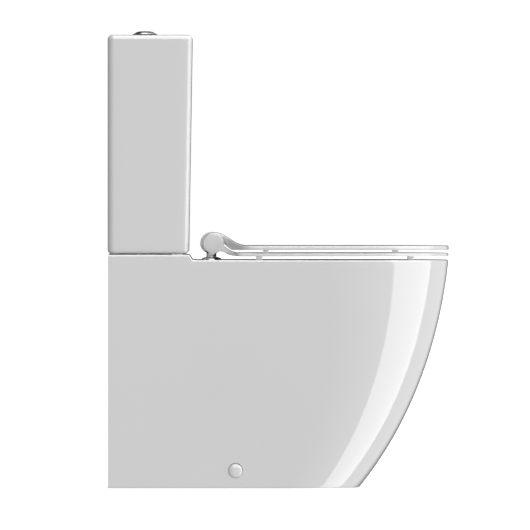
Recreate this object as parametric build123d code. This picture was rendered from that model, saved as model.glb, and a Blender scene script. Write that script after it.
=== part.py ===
from build123d import *
import math
import os

# A close coupled toilet: back to wall pan, cistern on its rear platform, seat and lid on barrel hinges.
# Millimetres, +Z up. The front faces -Y, the wall is the plane Y = WALL_Y, the floor is Z = 0.

# ---------------------------------------------------------------- driving dimensions
WALL_Y = 315.5            # wall plane
DEPTH = 631.0             # wall to the front of the rim
HALF_W = 180.0            # half width of pan, seat and lid
BASE_HALF_W = 150.0       # half width of the pan at the floor
RIM_Z = 422.2             # top of the ceramic rim
DECK_Z = 432.0            # top of the platform under the cistern
DECK_T = 22.0             # thickness of the platform
RIM_T = 12.2              # thickness of the rim deck
DECK_FRONT = 149.0        # wall to the platform's front edge
CERAMIC = 12.0            # wall thickness of the pan

CISTERN_Z = 433.5         # underside of the cistern
CISTERN_TOP = 838.0
CISTERN_D0 = 149.7        # depth at the bottom
CISTERN_D1 = 156.3        # depth at the top
CISTERN_HW = 175.0
CISTERN_WALL = 10.0
CISTERN_FLOOR = 12.5
LID_RECESS = 12.0         # the loose lid drops this deep into the top
LID_INSET = 14.0          # land left round it
LEDGE_W = 10.0            # ledge the loose lid rests on

VALVE_S = 68.0            # wall to the flush valve, button and inlet axis
BOLT_X = 85.0             # cistern bolts
FILL_X = 125.0            # fill valve
FILL_S = 66.0

AXIS_S = 195.4            # hinge axis of seat and lid
AXIS_Z = 452.3
BARREL_R = 19.7           # lid barrel between the posts
BARREL_BACK = 5.2         # barrel centre behind the hinge axis
BARREL_HALF = 58.4
KNUCKLE_R = 18.7          # seat knuckles outside the posts
KNUCKLE_X0 = 100.0
KNUCKLE_X1 = 122.0
HEAD_R = 13.5
HEAD_X0 = 59.2
HEAD_X1 = 99.2
POST_X = 77.5
POST_S = 191.3
POST_R = 9.35
ROSETTE_R = 18.2
ROSETTE_H = 4.3
PIN_R = 5.0
DAMPER_R = 9.0

SEAT_Z0 = 428.5
SEAT_Z1 = 434.8
SEAT_BACK = 238.8
SEAT_BACK_HALF = 171.0
LID_Z0 = 440.7
LID_Z1 = 448.1
NECK_HALF = 97.0
HOLE_S = 425.0            # middle of the seat opening
HOLE_A = 142.0
HOLE_B = 105.0

BOWL_S = 405.0            # middle of the bowl opening
BOWL_A = 178.0
BOWL_B = 135.0

TRAP_R = 36.0             # waterway of the trap
TRAP_OUT = 46.0
BEND_R = 50.0
OUTLET_Z = 180.0
OUTLET_END = 70.0         # wall to the end of the outlet spigot
OUTLET_R = 51.0
OUTLET_LEN = 25.0         # straight length a pan connector slides over
TAIL_END = 396.0          # lower end of the fill valve's threaded tail
TAIL_R = 10.48
TAIL_TOP = 420.5          # thread relief between the tail and the shank above it

BUTTON_R = 18.9
BUTTON_SPLIT = 5.0
CAP_S = 236.0
CAP_Z = 33.0

parts = {}


# ---------------------------------------------------------------- helpers
def pt(x, s, z=0.0):
    """A point from its side offset, its distance from the wall and its height."""
    return (x, WALL_Y - s, z)


def disc(r, x, s, z0, z1):
    """Upright cylinder of radius r from z0 to z1."""
    return Pos(*pt(x, s, (z0 + z1) / 2)) * Cylinder(r, z1 - z0)


def ring(r_out, r_in, x, s, z0, z1):
    """Upright tube."""
    return disc(r_out, x, s, z0, z1) - disc(r_in, x, s, z0 - 1, z1 + 1)


def bar(r, x0, x1, s, z):
    """Cylinder lying along X."""
    return Pos(*pt((x0 + x1) / 2, s, z)) * Rot(0, 90, 0) * Cylinder(r, abs(x1 - x0))


def rod_y(r, x, s0, s1, z):
    """Cylinder lying along Y between two distances from the wall."""
    return Pos(*pt(x, (s0 + s1) / 2, z)) * Rot(90, 0, 0) * Cylinder(r, abs(s1 - s0))


def block(x0, x1, s0, s1, z0, z1):
    """Box between two side offsets, two wall distances and two heights."""
    return Pos(*pt((x0 + x1) / 2, (s0 + s1) / 2, (z0 + z1) / 2)) * Box(abs(x1 - x0), abs(s1 - s0), abs(z1 - z0))


def side_plane():
    """Plane whose local axes are the distance from the wall and the height; its normal is -X."""
    return Plane(origin=(0, WALL_Y, 0), x_dir=(0, -1, 0), z_dir=(-1, 0, 0))


def side_solid(face, half):
    """A side profile made solid over both sides of the middle."""
    return extrude(side_plane() * face, amount=half, both=True)


def turned(points, x, s):
    """Solid of revolution about an upright axis, from radius and height pairs."""
    face = make_face(Plane.XZ * Polyline(*points, close=True))
    return Pos(*pt(x, s, 0)) * revolve(face, Axis.Z, 360)


def both_sides(shape):
    """The shape and its mirror image across the middle."""
    return Compound(children=[shape, mirror(shape, about=Plane.YZ)])


def save(name, shape):
    """Keep one piece of the assembly; several solids stay several solids."""
    solids = shape.solids()
    parts[name] = solids[0] if len(solids) == 1 else Compound(children=solids)


# ---------------------------------------------------------------- pan outline
def front_at(z):
    """Distance from the wall to the pan's front at one height: an ellipse arc in side view."""
    return 119.6 + 516.0 * math.sqrt(1.0 - ((z - 517.0) / 695.7) ** 2)


def half_at(z):
    """Half width of the pan at one height: upright near the rim, drawn in to the floor."""
    t = 1.0 - z / RIM_Z
    return HALF_W - (HALF_W - BASE_HALF_W) * t ** 1.45


def reach_at(z):
    """Length of the rounded front part at one height."""
    return 140.0 + 100.0 * z / RIM_Z


def rounded_front(half, s_side, reach, n, z, steps=12):
    """Front edge of a D outline: a superellipse quarter on each side."""
    points = []
    for i in range(steps + 1):
        t = math.pi * i / steps
        c = math.cos(t)
        x = half * math.copysign(abs(c) ** (2.0 / n), c)
        points.append(pt(x, s_side + reach * abs(math.sin(t)) ** (2.0 / n), z))
    return Spline(*points, tangents=[(0, -1, 0), (0, 1, 0)])


def d_face(half, s_back, front, reach, z, n=2.4):
    """D shaped outline: straight back and sides, rounded front."""
    side = front - reach
    curve = rounded_front(half, side, reach, n, z)
    left = Line(pt(-half, side, z), pt(-half, s_back, z))
    back = Line(pt(-half, s_back, z), pt(half, s_back, z))
    right = Line(pt(half, s_back, z), pt(half, side, z))
    return make_face(Wire([*curve.edges(), *left.edges(), *back.edges(), *right.edges()]))


def pan_loft(levels, inset, s_back):
    """Pan body through D outlines drawn in by one wall thickness."""
    faces = []
    for z in levels:
        zz = max(z, 0.0)
        faces.append(d_face(half_at(zz) - inset, s_back, front_at(zz) - inset, reach_at(zz) - inset * 0.5, z))
    return loft(faces)


def oval(s_mid, a, b, z):
    """Oval outline of the bowl at one height."""
    return Pos(*pt(0, s_mid, z)) * Ellipse(b, a)


def bowl_loft(grow, z_low):
    """Bowl cavity, or its outer skin when grown by the wall."""
    rows = [(RIM_Z + 2, BOWL_S, BOWL_A, BOWL_B), (395, BOWL_S - 1, BOWL_A - 3, BOWL_B - 3)]
    rows += [(340, 401, 160, 118), (270, 388, 126, 90)]
    rows += [(205, 368, 84, 62), (150, 350, 50, 44), (z_low, 338, 39, 38)]
    return loft([oval(s, a + grow, b + grow, z) for z, s, a, b in reversed(rows)])


def trap_path():
    """Middle line of the trap: down from the bowl, back, over the weir and out level."""
    knots = [(350, 200), (332, 90), (238, 90), (188, 252), (112, OUTLET_Z), (OUTLET_END, OUTLET_Z)]
    return side_plane() * FilletPolyline(*knots, radius=BEND_R)


def swept_round(path, r):
    """Round section of radius r carried along a path."""
    start = Plane(origin=path @ 0, z_dir=path % 0)
    return sweep(start * Circle(r), path=path)


# pan: one piece of glazed vitreous china, open underneath and behind
LEVELS = [0, 50, 110, 180, 260, 340, RIM_Z]
pan = pan_loft(LEVELS, 0, 0)
cavity = pan_loft([-2, 50, 110, 180, 260, 340, RIM_Z - RIM_T], CERAMIC, -2)
pan = pan - cavity
ramp = Polyline((0, RIM_Z - 2), (0, DECK_Z), (DECK_FRONT, DECK_Z), (DECK_FRONT + 9.0, RIM_Z - 1), close=True)
deck = side_solid(make_face(ramp), HALF_W - 0.2)
deck = fillet(deck.edges().filter_by(Axis.X).group_by(Axis.Z)[-1], 2.5)
pan = pan + deck
pan = pan + block(-HALF_W + 8, HALF_W - 8, 0, DECK_FRONT, DECK_Z - DECK_T, RIM_Z - 1)
trap = trap_path()
pan = pan + bowl_loft(CERAMIC, 100).intersect(block(-200, 200, 0, 640, 90, RIM_Z - 2))
pan = pan + swept_round(trap, TRAP_OUT)
pan = pan + rod_y(OUTLET_R, 0, OUTLET_END, OUTLET_END + OUTLET_LEN, OUTLET_Z)
inlet_path = side_plane() * FilletPolyline((VALVE_S, 425), (VALVE_S, 378), (240, 378), radius=34)
pan = pan + swept_round(inlet_path, 31)
pan = pan + disc(60, 0, VALVE_S, 395, DECK_Z - 4)
pan = pan - bowl_loft(0, 110)
pan = pan - swept_round(trap, TRAP_R)
pan = pan - rod_y(TRAP_R, 0, OUTLET_END - 1, OUTLET_END + 2, OUTLET_Z)
pan = pan - swept_round(inlet_path, 22)
pan = pan - disc(48, 0, VALVE_S, 412, DECK_Z + 1)
for side in (-1, 1):
    pan = pan - disc(6.0, side * BOLT_X, VALVE_S, 400, DECK_Z + 1)
    pan = pan - disc(6.5, side * POST_X, POST_S, 400, RIM_Z + 1)
    pan = pan - bar(4.5, side * 120, side * 190, CAP_S, CAP_Z)
    pan = pan - bar(13.8, side * 151.0, side * 190, CAP_S, CAP_Z)
pan = pan - block(FILL_X - 22, FILL_X + 22, -1, 90, DECK_Z - DECK_T - 1, DECK_Z + 1)
pan = pan - block(-FILL_X - 22, -FILL_X + 22, -1, 90, DECK_Z - DECK_T - 1, DECK_Z + 1)
save("pan", pan)

# cistern: glazed box leaning forward, with a ledge for its loose lid
profile = Polyline((0, CISTERN_Z), (CISTERN_D0, CISTERN_Z), (CISTERN_D1, CISTERN_TOP), (0, CISTERN_TOP), close=True)
cistern = side_solid(make_face(profile), CISTERN_HW)
uprights = cistern.edges().filter_by(lambda e: abs((e % 0.5).Z) > 0.9)
cistern = fillet(uprights, 12.0)
cistern = fillet(cistern.faces().sort_by(Axis.Z)[-1].outer_wire().edges(), 9.0)
cistern = fillet(cistern.faces().sort_by(Axis.Z)[0].outer_wire().edges(), 6.5)
w = CISTERN_WALL
top_wall = CISTERN_TOP - LID_RECESS - 20.0
room = Polyline((w, CISTERN_Z + CISTERN_FLOOR), (CISTERN_D0 - w, CISTERN_Z + CISTERN_FLOOR),
                (CISTERN_D1 - w - 0.6, top_wall), (w, top_wall), close=True)
room = side_solid(make_face(room), CISTERN_HW - w)
room = fillet(room.edges().filter_by(lambda e: abs((e % 0.5).Z) > 0.9), 6.0)
cistern = cistern - room
mouth_in = LID_INSET + LEDGE_W
mouth = block(-CISTERN_HW + mouth_in, CISTERN_HW - mouth_in, mouth_in, CISTERN_D1 - mouth_in, top_wall - 2, 840)
mouth = fillet(mouth.edges().filter_by(Axis.Z), 8.0)
recess = block(-CISTERN_HW + LID_INSET, CISTERN_HW - LID_INSET, LID_INSET, CISTERN_D1 - LID_INSET,
               CISTERN_TOP - LID_RECESS, 840)
recess = fillet(recess.edges().filter_by(Axis.Z), 7.0)
cistern = cistern - mouth - recess
cistern = cistern - disc(33.0, 0, VALVE_S, 430, 460)
cistern = cistern - disc(12.0, FILL_X, FILL_S, 430, 460)
cistern = cistern - disc(12.0, -FILL_X, FILL_S, 430, 460)
for side in (-1, 1):
    cistern = cistern - disc(6.0, side * BOLT_X, VALVE_S, 430, 460)
    cistern = cistern - rod_y(4.0, side * 115, -2, 20, 720)
save("cistern", cistern)

# cistern lid: loose flat plate dropped into the recess, bored for the push button
gap = 1.0
lid_in = LID_INSET + gap
top_lid = block(-CISTERN_HW + lid_in, CISTERN_HW - lid_in, lid_in, CISTERN_D1 - lid_in,
                CISTERN_TOP - LID_RECESS + 0.05, CISTERN_TOP)
top_lid = fillet(top_lid.edges().filter_by(Axis.Z), 6.0)
top_lid = fillet(top_lid.faces().sort_by(Axis.Z)[-1].outer_wire().edges(), 1.5)
save("cistern_lid", top_lid - disc(21.0, 0, VALVE_S, 820, 842))

# push button: plated ring and threaded neck, two half plates on rods, nut under the lid
bezel = turned([(19.3, 838.1), (24.0, 838.1), (24.0, 838.6), (22.4, 839.5), (20.2, 841.0), (19.3, 841.0)], 0, VALVE_S)
bezel = bezel + ring(20.6, 19.3, 0, VALVE_S, 806, 838.4)
floor_plate = disc(20.6, 0, VALVE_S, 804, 806.2)
floor_plate = floor_plate - disc(3.3, -14, VALVE_S - 4.5, 800, 810) - disc(3.3, 14, VALVE_S + 4.5, 800, 810)
save("button_bezel", bezel + floor_plate)
dome = turned([(0, 824), (BUTTON_R, 824), (BUTTON_R, 840.9), (17.4, 842.4), (12.9, 844.4), (6.5, 845.1), (0, 845.2)],
              0, VALVE_S)
save("full_flush_button", dome & block(-30, BUTTON_SPLIT - 0.35, 40, 100, 800, 860))
half_plate = dome & block(BUTTON_SPLIT + 0.35, 30, 40, 100, 800, 860)
save("half_flush_button", half_plate - disc(3.2, 11.5, VALVE_S, 844.1, 860))
save("full_flush_rod", disc(2.5, -14, VALVE_S - 4.5, 776.2, 824))
save("half_flush_rod", disc(2.5, 14, VALVE_S + 4.5, 776.2, 824))
nut = ring(27.0, 20.65, 0, VALVE_S, 815.5, 826.0)
for i in range(12):
    a = math.radians(30 * i)
    nut = nut - disc(2.6, 28.2 * math.cos(a), VALVE_S + 28.2 * math.sin(a), 814, 828)
save("button_locknut", nut)

# flush valve: threaded outlet and seat, cage, tower and twin rocker head
base = ring(42.0, 25.0, 0, VALVE_S, 449.2, 455.0)
base = base + ring(30.0, 25.0, 0, VALVE_S, 416.0, 455.0)
base = base + ring(27.5, 25.0, 0, VALVE_S, 454.0, 458.0)
for i in range(4):
    rib = block(29.5, 35.5, VALVE_S - 6, VALVE_S + 6, 454.0, 504.0)
    rib = Pos(*pt(0, VALVE_S)) * Rot(0, 0, 45 + 90 * i) * Pos(0, VALVE_S - WALL_Y, 0) * rib
    base = base + rib
save("flush_valve_base", base)
tower = ring(34.0, 31.0, 0, VALVE_S, 504.05, 692.0) + ring(34.0, 14.6, 0, VALVE_S, 689.0, 693.0)
for z in (530, 575, 620):
    tower = tower - block(-40, 40, VALVE_S - 9, VALVE_S + 9, z, z + 30)
cheeks = block(-19, 19, VALVE_S - 23, VALVE_S - 20, 692, 790) + block(-19, 19, VALVE_S + 20, VALVE_S + 23, 692, 790)
cheeks = cheeks - block(-10, 10, VALVE_S - 30, VALVE_S + 30, 704, 750)
head_plate = block(-19, 19, VALVE_S - 23, VALVE_S + 23, 786, 790)
head_plate = head_plate - disc(4.2, -14, VALVE_S - 4.5, 780, 792) - disc(4.2, 14, VALVE_S + 4.5, 780, 792)
tower = tower + cheeks + head_plate
tower = tower - rod_y(2.0, 0, VALVE_S - 30, VALVE_S + 30, 772)
save("flush_valve_tower", tower)
save("rocker_pin", rod_y(1.98, 0, VALVE_S - 25, VALVE_S + 25, 772))
for name, offset in (("full_rocker", -4.5), ("half_rocker", 4.5)):
    arm = block(-18, 18, VALVE_S + offset - 3, VALVE_S + offset + 3, 769.5, 774.5)
    arm = fillet(arm.edges().filter_by(Axis.Y), 1.5)
    arm = arm + rod_y(4.5, 0, VALVE_S + offset - 3, VALVE_S + offset + 3, 772)
    save(name, arm - rod_y(2.1, 0, VALVE_S - 30, VALVE_S + 30, 772))
overflow = ring(14.0, 11.5, 0, VALVE_S, 461.6, 738.0) + ring(27.0, 11.5, 0, VALVE_S, 461.6, 465.0)
save("overflow_tube", overflow)
save("flush_seal", ring(28.5, 11.5, 0, VALVE_S, 458.4, 461.5))
save("flush_float", ring(25.0, 14.1, 0, VALVE_S, 598.0, 636.0))
save("valve_seal_washer", ring(41.0, 30.1, 0, VALVE_S, 446.05, 449.1))
backnut = ring(39.5, 30.1, 0, VALVE_S, 423.0, 433.4)
for i in range(8):
    a = math.radians(45 * i)
    backnut = backnut - disc(3.4, 41.0 * math.cos(a), VALVE_S + 41.0 * math.sin(a), 420, 436)
save("valve_backnut", backnut)
save("coupling_gasket", ring(47.8, 39.8, 0, VALVE_S, 412.1, 433.3))

# fill valve: shank and riser, head, cup float on a link, lever with its level screw
shank = ring(TAIL_R, 6.0, FILL_X, FILL_S, TAIL_END, 452.0) - ring(14.0, 9.7, FILL_X, FILL_S, TAIL_TOP, TAIL_TOP + 2)
shank = shank + ring(18.0, 6.0, FILL_X, FILL_S, 449.2, 453.5)
save("fill_valve_riser", shank + ring(11.0, 6.0, FILL_X, FILL_S, 452.0, 690.0))
save("fill_valve_washer", ring(17.5, 10.6, FILL_X, FILL_S, 446.05, 449.1))
hexa = extrude(Pos(*pt(FILL_X, FILL_S, 424.4)) * RegularPolygon(16.5, 6), amount=9.0)
save("fill_valve_backnut", hexa - disc(10.55, FILL_X, FILL_S, 420, 436))
fill_head = disc(19.0, FILL_X, FILL_S, 690.05, 722.0) + disc(14.0, FILL_X, FILL_S, 722.0, 727.0)
ears = block(FILL_X - 9, FILL_X - 6, FILL_S - 14, FILL_S - 2, 724, 739)
ears = ears + block(FILL_X + 6, FILL_X + 9, FILL_S - 14, FILL_S - 2, 724, 739)
fill_head = fill_head + ears - bar(1.5, FILL_X - 12, FILL_X + 12, FILL_S - 8, 733)
fill_head = fill_head + ring(6.0, 3.0, FILL_X - 26, FILL_S, 640, 704) + block(FILL_X - 26, FILL_X - 15, FILL_S - 4,
                                                                              FILL_S + 4, 698, 710)
save("fill_valve_head", fill_head)
save("lever_pin", bar(1.48, FILL_X - 10, FILL_X + 10, FILL_S - 8, 733))
lever = block(FILL_X - 5.5, FILL_X + 5.5, FILL_S - 12, FILL_S + 38, 730, 736)
lever = lever - bar(1.6, FILL_X - 12, FILL_X + 12, FILL_S - 8, 733)
lever = lever - block(FILL_X - 2.5, FILL_X + 2.5, FILL_S + 22, FILL_S + 34, 728, 738)
save("float_lever", lever)
save("level_screw", disc(2.4, FILL_X, FILL_S + 8, 736.05, 752) + disc(3.6, FILL_X, FILL_S + 8, 752, 755))
cup = ring(33.0, 12.2, FILL_X, FILL_S, 556.0, 626.0) - ring(30.6, 14.6, FILL_X, FILL_S, 550.0, 623.0)
cup = cup - block(FILL_X - 30, FILL_X - 22, FILL_S - 10, FILL_S + 10, 620, 640)
save("float_cup", cup)
save("float_link", disc(1.5, FILL_X, FILL_S + 28, 626.05, 744.0))

# cistern bolts: two brass bolts with rubber and steel washers and wing nuts under the platform
bolts, rubbers, steels, wings, pads = [], [], [], [], []
for side in (-1, 1):
    x = side * BOLT_X
    bolts.append(disc(4.0, x, VALVE_S, 384, 450.4) + disc(7.5, x, VALVE_S, 450.4, 455.0))
    rubbers.append(ring(12.0, 4.1, x, VALVE_S, 446.05, 450.3))
    rubbers.append(ring(13.0, 4.1, x, VALVE_S, 406.6, 409.9))
    steels.append(ring(12.0, 4.1, x, VALVE_S, 404.6, 406.5))
    wing = ring(8.0, 4.05, x, VALVE_S, 394.0, 404.5)
    wing = wing + block(x - 18, x - 6, VALVE_S - 1.6, VALVE_S + 1.6, 394, 402) - disc(4.05, x, VALVE_S, 390, 408)
    wing = wing + block(x + 6, x + 18, VALVE_S - 1.6, VALVE_S + 1.6, 394, 402) - disc(4.05, x, VALVE_S, 390, 408)
    wings.append(wing)
    pads.append(block(side * 140 - 10, side * 140 + 10, 118, 138, DECK_Z + 0.05, CISTERN_Z - 0.05))
save("cistern_bolts", Compound(children=bolts))
save("bolt_rubbers", Compound(children=rubbers))
save("bolt_washers", Compound(children=steels))
save("wing_nuts", Compound(children=wings))
save("cistern_pads", Compound(children=pads))

# ---------------------------------------------------------------- hinges
posts, rosettes, heads, pins, dampers, studs, bushes, nuts = [], [], [], [], [], [], [], []
for side in (-1, 1):
    x = side * POST_X
    posts.append(ring(POST_R, 4.05, x, POST_S, RIM_Z + 0.1, 442.0))
    skirt = turned([(9.4, RIM_Z + 0.05), (ROSETTE_R, RIM_Z + 0.05), (ROSETTE_R - 0.3, RIM_Z + 1.8),
                    (14.0, RIM_Z + ROSETTE_H - 0.4), (9.4, RIM_Z + ROSETTE_H)], x, POST_S)
    rosettes.append(skirt)
    knob = bar(HEAD_R, side * HEAD_X0, side * HEAD_X1, AXIS_S, AXIS_Z)
    knob = knob - disc(POST_R + 0.05, x, POST_S, 430, 442.05) - bar(PIN_R + 0.02, side * 50, side * 110, AXIS_S, AXIS_Z)
    heads.append(knob)
    pins.append(bar(PIN_R, side * 56, side * 118, AXIS_S, AXIS_Z))
    dampers.append(bar(DAMPER_R, side * 12, side * 55.9, AXIS_S, AXIS_Z))
    studs.append(disc(4.0, x, POST_S, 362, 439))
    bushes.append(ring(6.4, 4.1, x, POST_S, 410.0, RIM_Z - 0.1))
    nuts.append(ring(14.0, 4.05, x, POST_S, 405.6, 409.9) + ring(8.0, 4.05, x, POST_S, 392.0, 405.8))
save("hinge_posts", Compound(children=posts))
save("hinge_rosettes", Compound(children=rosettes))
save("hinge_heads", Compound(children=heads))
save("hinge_pins", Compound(children=pins))
save("damper_cartridges", Compound(children=dampers))
save("seat_studs", Compound(children=studs))
save("stud_bushes", Compound(children=bushes))
save("stud_nuts", Compound(children=nuts))


def plan_solid(rear_points, z0, z1):
    """Plate with the D shaped front, closed behind by the given corner points."""
    side = front_at(RIM_Z) - reach_at(RIM_Z)
    curve = rounded_front(HALF_W, side, DEPTH - side, 2.4, z0)
    left = [pt(-x, s, z0) for x, s in reversed(rear_points)]
    right = [pt(x, s, z0) for x, s in rear_points]
    back = Polyline(pt(-HALF_W, side, z0), *left, *right, pt(HALF_W, side, z0))
    return extrude(make_face(Wire([*curve.edges(), *back.edges()])), amount=z1 - z0, dir=(0, 0, 1))


# seat: ring with the D outline, two webs rising to the knuckles on the hinge axis
seat = plan_solid([(SEAT_BACK_HALF, SEAT_BACK)], SEAT_Z0, SEAT_Z1)
seat = fillet(seat.edges().filter_by(Axis.Z), 10.0)
seat = fillet(seat.faces().sort_by(Axis.Z)[-1].outer_wire().edges(), 2.4)
hole = extrude(Pos(*pt(0, HOLE_S, SEAT_Z0 - 2)) * Ellipse(HOLE_B, HOLE_A), amount=14)
seat = seat - hole
web = [(205, 438.6), (216.6, 435.1), (222.2, 431.4), (229.6, 429.3), (246, SEAT_Z0 + 0.2), (246, SEAT_Z1 - 0.2)]
web += [(238.8, SEAT_Z1 - 0.2), (228, 436.6), (220, 441.6), (211, 449.5), (200, 449.5)]
web = side_solid(make_face(Polyline(*web, close=True)), KNUCKLE_X1)
web = web - side_solid(make_face(Polyline((150, 400), (260, 400), (260, 480), (150, 480), close=True)), KNUCKLE_X0)
for side in (-1, 1):
    seat = seat + bar(KNUCKLE_R, side * KNUCKLE_X0, side * KNUCKLE_X1, AXIS_S, AXIS_Z)
seat = seat + web
for side in (-1, 1):
    seat = seat - bar(PIN_R + 0.06, side * 90, side * 118.6, AXIS_S, AXIS_Z)
save("seat_ring", seat)

# lid: flat plate, swan necked over the posts to a barrel between them
upper = [(190.2, 472.6), (198, 472.5), (205.5, 471.4), (212.9, 468.2), (219.4, 464.5), (225, 460.9), (230.5, 457.2),
         (237, 453.1), (244, 450.0), (254, LID_Z1)]
neck_top = Spline(*upper, tangents=[(1, 0), (1, -0.02)])
neck_low = [(640, LID_Z1), (640, LID_Z0), (229, LID_Z0), (221.5, 445.5), (214, 452.3), (190.2, 452.3)]
neck_line = Polyline((254, LID_Z1), *neck_low, (190.2, 472.6))
lid_side = side_solid(make_face(Wire([*neck_top.edges(), *neck_line.edges()])), HALF_W + 5)
flare = [(HALF_W - 7, 262), (HALF_W - 13, 250), (HALF_W - 26, 243), (130, 236), (112, 226), (100, 213)]
flare += [(NECK_HALF, 205), (NECK_HALF, 180)]
lid = lid_side & plan_solid(flare[::-1], 430, 480)
lid = lid + bar(BARREL_R, -BARREL_HALF, BARREL_HALF, AXIS_S - BARREL_BACK, AXIS_Z + 0.6)
for side in (-1, 1):
    lid = lid - bar(15.5, side * BARREL_HALF, side * 150, AXIS_S, AXIS_Z)
    lid = lid - bar(20.2, side * (NECK_HALF + 0.01), side * 150, AXIS_S, AXIS_Z)
    lid = lid - bar(DAMPER_R + 0.1, side * 11, side * (BARREL_HALF + 2), AXIS_S, AXIS_Z)
save("seat_lid", lid)

# buffers: soft pads under the seat and under the lid
seat_pads, lid_pads = [], []
for side in (-1, 1):
    for x, s in ((140, 280), (104, 560)):
        seat_pads.append(disc(6.0, side * x, s, RIM_Z + 0.35, SEAT_Z0 - 0.02))
    for x, s in ((138, 292), (112, 532)):
        lid_pads.append(disc(5.0, side * x, s, SEAT_Z1 + 0.35, LID_Z0 - 0.02))
save("seat_buffers", Compound(children=seat_pads))
save("lid_buffers", Compound(children=lid_pads))

# floor fixings: angle brackets inside the skirt, side screws and their covers
brackets, screws, caps = [], [], []
for side in (-1, 1):
    angle = block(side * 133, side * 137.3, CAP_S - 16, CAP_S + 16, 0.5, 56)
    angle = angle + block(side * 96, side * 136, CAP_S - 16, CAP_S + 16, 0.5, 5.0)
    angle = angle - disc(4.2, side * 114, CAP_S, -2, 8) - bar(3.1, side * 130, side * 142, CAP_S, CAP_Z)
    brackets.append(angle)
    screws.append(bar(3.0, side * 126, side * 151.2, CAP_S, CAP_Z) + bar(6.0, side * 151.1, side * 153.6, CAP_S, CAP_Z))
    face = Polyline((0, 5.6), (7.0, 5.2), (11.6, 3.6), (13.4, 1.0), (13.4, 0), (7.4, 0), (7.4, 3.0), (0, 3.0), close=True)
    dome = revolve(make_face(Plane.XZ * face), Axis.Z, 360)
    caps.append(Pos(*pt(side * 151.05, CAP_S, CAP_Z)) * Rot(0, side * 90, 0) * dome)
save("floor_brackets", Compound(children=brackets))
save("side_screws", Compound(children=screws))
save("fixing_caps", Compound(children=caps))
save("inlet_plug", disc(11.8, -FILL_X, FILL_S, 430.5, 446) + disc(17.0, -FILL_X, FILL_S, 446.05, 450))

# ---------------------------------------------------------------- output
os.makedirs("parts", exist_ok=True)
for name, shape in parts.items():
    export_step(shape, f"parts/{name}.step")
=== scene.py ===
import math

import bmesh
import bpy
import numpy as np
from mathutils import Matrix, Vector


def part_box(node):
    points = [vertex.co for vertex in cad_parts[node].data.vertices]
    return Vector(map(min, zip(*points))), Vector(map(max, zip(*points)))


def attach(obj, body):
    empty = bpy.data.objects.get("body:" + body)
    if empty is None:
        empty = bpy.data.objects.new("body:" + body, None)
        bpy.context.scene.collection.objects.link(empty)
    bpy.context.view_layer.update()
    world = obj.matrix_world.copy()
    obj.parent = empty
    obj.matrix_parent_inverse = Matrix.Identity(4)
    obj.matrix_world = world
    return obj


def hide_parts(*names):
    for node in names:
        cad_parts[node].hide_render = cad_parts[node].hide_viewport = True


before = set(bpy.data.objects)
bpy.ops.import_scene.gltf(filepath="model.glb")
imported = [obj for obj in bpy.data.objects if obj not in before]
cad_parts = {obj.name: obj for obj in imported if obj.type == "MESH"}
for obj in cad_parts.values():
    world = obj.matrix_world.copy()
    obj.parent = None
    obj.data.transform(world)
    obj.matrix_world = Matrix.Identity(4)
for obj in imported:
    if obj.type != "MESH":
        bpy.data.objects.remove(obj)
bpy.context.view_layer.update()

# ---------------------------------------------------------------- pan
# The pan is one slip cast piece of vitreous china: skirt, rim, cistern platform, bowl, trap and outlet in one
# body, open behind and underneath. It is white glazed all over, apart from the bare biscuit that stands on the
# floor.
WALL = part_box("pan")[1].y * 1000
RIM = 422.2
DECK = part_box("pan")[1].z * 1000
DECK_FRONT, DECK_SLOPE = 149.0, 9.5
HALF_TOP, HALF_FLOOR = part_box("pan")[1].x * 1000, 150.0
SKIRT_POWER = 1.45
FRONT_MIDDLE_S, FRONT_MIDDLE_Z, FRONT_HALF_S, FRONT_HALF_Z = 119.6, 517.0, 516.0, 695.7
NOSE_FLOOR, NOSE_GAIN = 140, 100
PAN_EDGE = 3.6
FOOT_EASE = 1.6
CHINA_WALL, RIM_THICK = 12.0, 12.2
STATIONS_END = 250
BACK_STATIONS = np.concatenate([np.linspace(0, 140, 8), np.linspace(145, 161, 33),
                                np.linspace(168, STATIONS_END, 6)])
FRONT_TURN = np.linspace(0, math.pi / 2, 49)
FRONT_POWER = 2.4


def place(x, s, z):
    """Points in millimetres from side offset, distance from the wall and height."""
    return np.stack(np.broadcast_arrays(x, WALL - s, z), -1)


def quads(rows, cols, wrap=True, wrap_rows=False):
    """Index quads of a grid, closed across its columns when wrap is true and end to end when wrap_rows is."""
    i = np.arange(rows if wrap_rows else rows - 1)[:, None]
    j = np.arange(cols if wrap else cols - 1)[None, :]
    k, n = (j + 1) % cols, (i + 1) % rows
    return np.stack([i * cols + j, i * cols + k, n * cols + k, n * cols + j], -1).reshape(-1, 4).tolist()


def finish_mesh(piece, crease):
    """Welds seams and poles, turns faces outwards, and shades smooth below the crease angle in degrees."""
    bm = bmesh.new()
    bm.from_mesh(piece.data)
    bmesh.ops.remove_doubles(bm, verts=bm.verts, dist=2e-6)
    bmesh.ops.dissolve_degenerate(bm, edges=bm.edges, dist=1e-6)
    bmesh.ops.recalc_face_normals(bm, faces=bm.faces)
    bm.to_mesh(piece.data)
    bm.free()
    piece.data.shade_smooth()
    piece.data.set_sharp_from_angle(angle=math.radians(crease))
    return piece


def solid(name, points, faces, crease=32):
    """Object from points in millimetres and lists of face indices."""
    mesh = bpy.data.meshes.new(name)
    mesh.from_pydata((points.reshape(-1, 3) * 0.001).tolist(), [], faces)
    piece = bpy.data.objects.new(name, mesh)
    bpy.context.scene.collection.objects.link(piece)
    return finish_mesh(piece, crease)


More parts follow.
